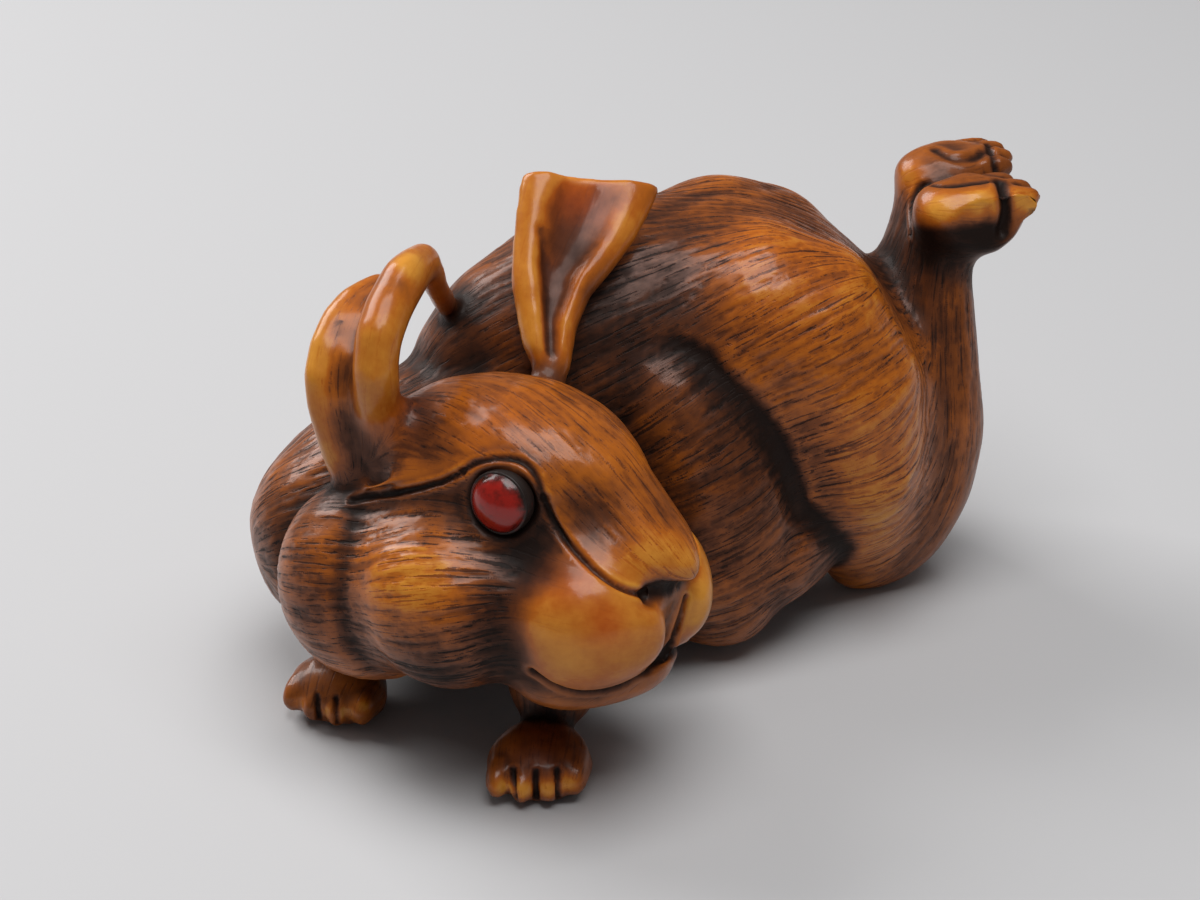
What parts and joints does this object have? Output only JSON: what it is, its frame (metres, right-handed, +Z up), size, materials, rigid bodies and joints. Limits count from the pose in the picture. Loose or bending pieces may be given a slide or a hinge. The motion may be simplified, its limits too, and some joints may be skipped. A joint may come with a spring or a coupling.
{
  "type": "netsuke",
  "caption": "Netsuke carved as a lying hare looking back along its flank, an ear looped to the back as a cord way, hind feet kicked up, with inlaid red eyes.",
  "frame": {"origin": "middle of the bounding box, on the ground under the paws and knees", "axes": "+X along the body from the chest to the hind feet, +Z up, -Y towards the side that the head is turned to"},
  "size_m": [0.0488, 0.0432, 0.0309],
  "materials": {
    "stained_antler": "dense antler or ivory-like carving material, stained amber brown, worn and polished to a satin gloss",
    "red_amber": "deep red amber-like bead with a near-black rim, polished glossy"
  },
  "bodies": {
    "root": {"hare_carving": "stained_antler", "eye_right": "red_amber", "eye_left": "red_amber"}
  },
  "joints": []
}
